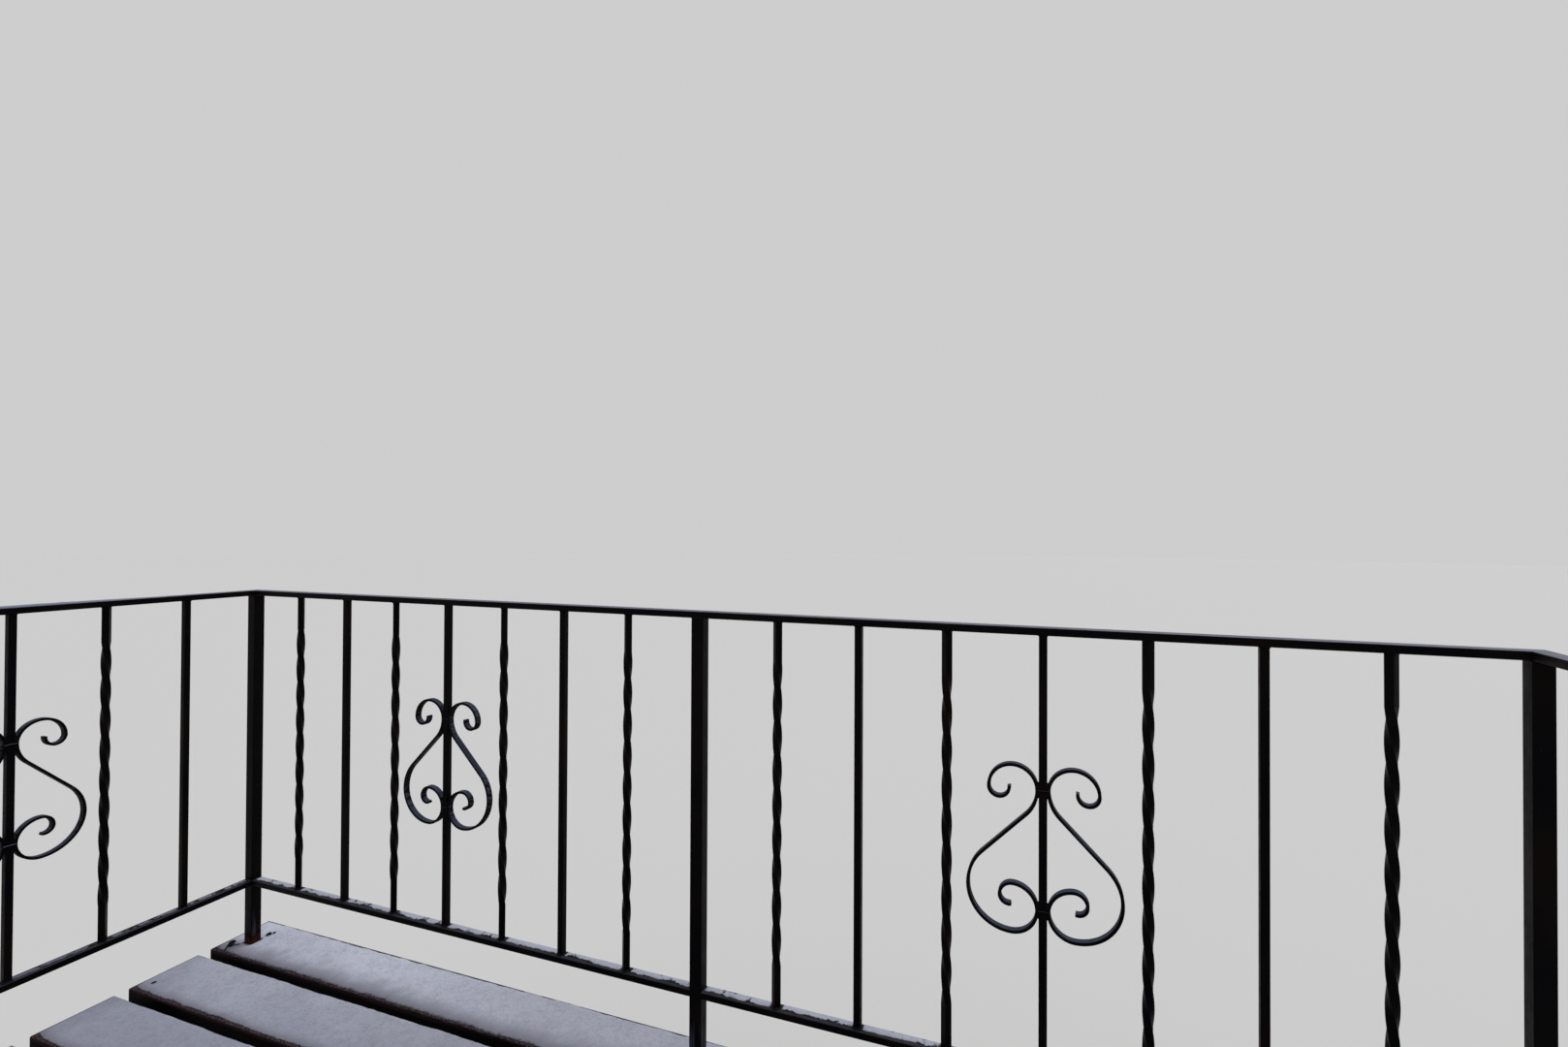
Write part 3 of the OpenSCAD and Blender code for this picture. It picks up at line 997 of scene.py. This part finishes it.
def bolt_head(build, centre, facing, bolt):
    """The washer and head of a bolt at a point of a face that looks in the direction facing."""
    spin = Vector(facing).to_track_quat("Z", "Y")

    def ring(radius, out, count, start=0.0):
        angles = [start + 2 * math.pi * k / count for k in range(count)]
        flat = [Vector((radius * math.cos(a), radius * math.sin(a), out)) for a in angles]
        return [build.verts.new(Vector(centre) + spin @ point) for point in flat]

    def skin(rings):
        for a, b in zip(rings, rings[1:]):
            for k in range(len(a)):
                build.faces.new((a[k], a[(k + 1) % len(a)], b[(k + 1) % len(a)], b[k]))
        build.faces.new(rings[0][::-1])
        build.faces.new(rings[-1])

    edge = bolt.washer_t / 4
    outline = (
        (bolt.washer_r - edge, 0.0),
        (bolt.washer_r, edge),
        (bolt.washer_r, bolt.washer_t - edge),
        (bolt.washer_r - edge, bolt.washer_t),
    )
    skin([ring(radius, out, WASHER_SIDES) for radius, out in outline])
    corner_r = bolt.across_flats / math.sqrt(3)
    top = bolt.washer_t + bolt.head
    profile = (
        (corner_r, bolt.washer_t - edge / 2),
        (corner_r, top - bolt.head / 5),
        (corner_r * CROWN, top),
    )
    skin([ring(radius, out, 6, HEAD_TURN) for radius, out in profile])


def hole_centres(node):
    """Centres of the round holes through a plate that stands on the wall, as (x, z)."""
    edge = 0.001
    widest_hole = 0.02
    points = vertices(node)
    low, high = points.min(0), points.max(0)
    inner = (points[:, 0] > low[0] + edge) & (points[:, 0] < high[0] - edge)
    inner &= (points[:, 2] > low[2] + edge) & (points[:, 2] < high[2] - edge)
    rims = points[inner]
    centres = []
    while len(rims):
        near = np.linalg.norm(rims[:, [0, 2]] - rims[0, [0, 2]], axis=1) < widest_hole
        group = rims[near]
        middle = (group.min(0) + group.max(0)) / 2
        centres.append((middle[0], middle[2]))
        rims = rims[~near]
    return centres


def wall_fixings():
    """Anchor bolts through the bracket legs and coach screws through the wall plates."""
    for side in SIDES:
        build = bmesh.new()
        for name in NODES:
            if not name.startswith(side) or not name.endswith(("_leg", "_wall_plate")):
                continue
            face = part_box(name)[1].y
            bolt = ANCHOR if name.endswith("_leg") else COACH_SCREW
            for x, z in hole_centres(name):
                bolt_head(build, (x, face, z), (0, 1, 0), bolt)
        piece(f"{side}_wall_bolts", build, FIXING, smooth=False)


def plank_screws():
    """Coach screws up through the arms, two to a plank, but none where the brace is in the way."""
    off_middle = 0.045
    clear = 0.012
    for side in SIDES:
        arm_low, arm_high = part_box(f"{side}_bracket_arm")
        brace_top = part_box(f"{side}_bracket_brace")[1].z
        points = vertices(f"{side}_bracket_brace")
        seat = points[np.abs(points[:, 2] - brace_top) < WELD_DISTANCE][:, 1]
        build = bmesh.new()
        for index in range(1, PLANK_COUNT + 1):
            low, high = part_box(f"deck_plank_{index}")
            for off in (-off_middle, off_middle):
                y = (low.y + high.y) / 2 + off
                on_arm = arm_low.y + 2 * clear < y < arm_high.y - clear
                if on_arm and not seat.min() - clear < y < seat.max() + clear:
                    centre = ((arm_low.x + arm_high.x) / 2, y, arm_low.z)
                    bolt_head(build, centre, (0, 0, -1), COACH_SCREW)
        piece(f"{side}_plank_screws", build, FIXING, smooth=False)


# Litter on the snow by the left corner post


@dataclass
class Leaf:
    """A bit of curled leaf: where it lies from the left corner post's centre, and its size."""

    across: float
    out: float
    length: float
    width: float
    turn: float


@dataclass
class Twig:
    """A twig or a leaf's stalk, by its ends from the left corner post's centre."""

    start: tuple
    end: tuple
    radius: float


LEAVES = (
    Leaf(across=-0.0320, out=-0.0300, length=0.024, width=0.014, turn=120),
    Leaf(across=0.012, out=0.034, length=0.015, width=0.011, turn=22),
    Leaf(across=0.016, out=0.046, length=0.009, width=0.006, turn=10),
    Leaf(across=-0.0300, out=-0.2090, length=0.010, width=0.004, turn=60),
)
TWIGS = (
    Twig(start=(-0.015, -0.060), end=(-0.039, -0.033), radius=0.0017),
    Twig(start=(-0.029, -0.044), end=(-0.011, -0.023), radius=0.0010),
)
LITTER_LEVEL = 0.85  # how high in the snow the litter lies, as a share of the snow's depth
LEAF_THICKNESS = 0.0005
LEAF_STEM = 0.0004  # half the width at a leaf's ends
LEAF_CURL = 0.65  # how far a leaf's sides stand up, as a share of its half width
LEAF_RISE = 0.15  # how far its tip stands up, as a share of its length
LEAF_CRUMPLE = 0.0003


def leaf_grid(build, leaf, middle, seed):
    """One leaf, curled up at its sides and rising towards its tip."""
    draw = np.random.RandomState(seed)
    spin = Matrix.Rotation(math.radians(leaf.turn), 3, "Z")
    rows = []
    for t in np.linspace(0, 1, 9):
        swell = max(0.0, math.sin(math.pi * (0.06 + 0.94 * t))) ** 0.7
        half = leaf.width / 2 * swell + LEAF_STEM
        row = []
        for s in np.linspace(-1, 1, 5):
            lift = LEAF_CURL * half * s * s + LEAF_RISE * leaf.length * t * t
            lift += draw.uniform(-LEAF_CRUMPLE, LEAF_CRUMPLE)
            place = Vector((leaf.length * (t - 0.5), half * s, lift))
            row.append(build.verts.new(middle + spin @ place))
        rows.append(row)
    for a, b in zip(rows, rows[1:]):
        for j in range(len(a) - 1):
            build.faces.new((a[j], b[j], b[j + 1], a[j + 1]))


def twig_path(twig, post_x, post_y, ground):
    """Along a twig, which bends up in its middle."""
    path = []
    for t in np.linspace(0, 1, 9):
        x = post_x + twig.start[0] + (twig.end[0] - twig.start[0]) * t
        y = post_y + twig.start[1] + (twig.end[1] - twig.start[1]) * t
        path.append((x, y, ground + twig.radius * (0.5 + math.sin(3 * t))))
    return path


def litter():
    """A curled leaf with its stalk, a twig and a few bits of leaf."""
    low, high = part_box("left_corner_post")
    post_x, post_y = (low.x + high.x) / 2, (low.y + high.y) / 2
    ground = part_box(OUTER_PLANK)[1].z + OUTER_PLANK_LAYER.depth * LITTER_LEVEL
    build = bmesh.new()
    for seed, leaf in enumerate(LEAVES):
        middle = Vector((post_x + leaf.across, post_y + leaf.out, ground))
        leaf_grid(build, leaf, middle, seed)
    made = piece("leaf_litter", build, LEAF)
    made.modifiers.new("thickness", "SOLIDIFY").thickness = LEAF_THICKNESS
    build = bmesh.new()
    for number, twig in enumerate(TWIGS):
        path = twig_path(twig, post_x, post_y, ground)
        bead(build, path, twig.radius, TWIG_SEED + number, closed=False)
    piece("twigs", build, LEAF)


# Stage, light and camera

FLOOR_GREY = 0.66
BACKDROP_GREY = 0.615  # the floor as it renders, so that no horizon shows
FLOOR_RADIUS = 60.0
FLOOR_CLEARANCE = 0.002


@dataclass
class Sun:
    """A broad soft lamp: its turn about the vertical, its tilt out of it and its spread, in degrees."""

    turn: float
    tilt: float
    strength: float
    softness: float


SUNS = {
    "key": Sun(turn=150, tilt=38, strength=1.45, softness=45),
    "fill": Sun(turn=-40, tilt=62, strength=0.40, softness=60),
}
SKY_STRENGTH = 0.5

EYE = (0.6974, -0.3539, 1.1129)
YAW, PITCH, ROLL = 21.004, 0.550, 0.255
SENSOR_WIDTH = 36.0
LENS = 17.337


def stage():
    """A pale floor under the object, which can be seen through from underneath."""
    build = bmesh.new()
    bmesh.ops.create_circle(build, cap_ends=True, radius=FLOOR_RADIUS, segments=96)
    bmesh.ops.translate(build, verts=build.verts, vec=(0, 0, CAD_BOX[0][2] - FLOOR_CLEARANCE))
    mesh = bpy.data.meshes.new("floor")
    build.to_mesh(mesh)
    build.free()
    floor = bpy.data.objects.new("floor", mesh)
    bpy.context.scene.collection.objects.link(floor)
    look = Look("pale_floor", roughness=0.9, specular=0.1)
    look.shader.inputs["Base Color"].default_value = (FLOOR_GREY, FLOOR_GREY, FLOOR_GREY, 1)
    clear = look.add("BsdfTransparent").outputs[0]
    camera_ray = look.add("LightPath").outputs["Is Camera Ray"]
    under = look.times(look.add("NewGeometry").outputs["Backfacing"], camera_ray)
    mixed = look.add("MixShader", {0: under, 1: look.shader.outputs[0], 2: clear}).outputs[0]
    output = next(n for n in look.tree.nodes if n.type == "OUTPUT_MATERIAL")
    look.tree.links.new(mixed, output.inputs["Surface"])
    mesh.materials.append(look.material)


def world():
    """An even sky that lights the object, and a pale backdrop where the camera or a reflection sees it."""
    sky = bpy.data.worlds.new("studio")
    bpy.context.scene.world = sky
    sky.use_nodes = True
    tree = sky.node_tree
    tree.nodes.clear()
    ray = tree.nodes.new("ShaderNodeLightPath").outputs

    def larger(a, b):
        node = tree.nodes.new("ShaderNodeMath")
        node.operation = "MAXIMUM"
        tree.links.new(a, node.inputs[0])
        tree.links.new(b, node.inputs[1])
        return node.outputs[0]

    def background(grey, strength):
        node = tree.nodes.new("ShaderNodeBackground")
        node.inputs["Color"].default_value = (grey, grey, grey, 1)
        node.inputs["Strength"].default_value = strength
        return node.outputs[0]

    seen = larger(ray["Is Camera Ray"], larger(ray["Is Glossy Ray"], ray["Is Transmission Ray"]))
    mixed = tree.nodes.new("ShaderNodeMixShader")
    tree.links.new(seen, mixed.inputs[0])
    tree.links.new(background(1.0, SKY_STRENGTH), mixed.inputs[1])
    tree.links.new(background(BACKDROP_GREY, 1.0), mixed.inputs[2])
    output = tree.nodes.new("ShaderNodeOutputWorld")
    tree.links.new(mixed.outputs[0], output.inputs[0])


def lamps():
    for name, sun in SUNS.items():
        lamp = bpy.data.lights.new(name, "SUN")
        lamp.energy = sun.strength
        lamp.angle = math.radians(sun.softness)
        holder = bpy.data.objects.new(name, lamp)
        holder.rotation_euler = (math.radians(sun.tilt), 0, math.radians(sun.turn))
        bpy.context.scene.collection.objects.link(holder)


def camera():
    """The photographer's place: just inside the door, looking out to the left."""
    data = bpy.data.cameras.new("camera")
    data.sensor_width = SENSOR_WIDTH
    data.lens = LENS
    data.clip_start = 0.01
    data.clip_end = 2 * FLOOR_RADIUS
    holder = bpy.data.objects.new("camera", data)
    bpy.context.scene.collection.objects.link(holder)
    facing_y = Matrix.Rotation(math.radians(90), 4, "X")
    yaw = Matrix.Rotation(math.radians(YAW), 4, "Z")
    pitch = Matrix.Rotation(math.radians(PITCH), 4, "X")
    roll = Matrix.Rotation(math.radians(-ROLL), 4, "Y")
    holder.matrix_world = Matrix.Translation(EYE) @ yaw @ pitch @ roll @ facing_y
    bpy.context.scene.camera = holder


dress_nodes()
plank_snow()
rail_snow()
top_rail_snow()
picket_welds()
scroll_welds()
frame_welds()
bracket_welds()
wall_fixings()
plank_screws()
litter()
stage()
world()
lamps()
camera()
bpy.context.scene.view_settings.view_transform = "Standard"

bpy.context.view_layer.update()
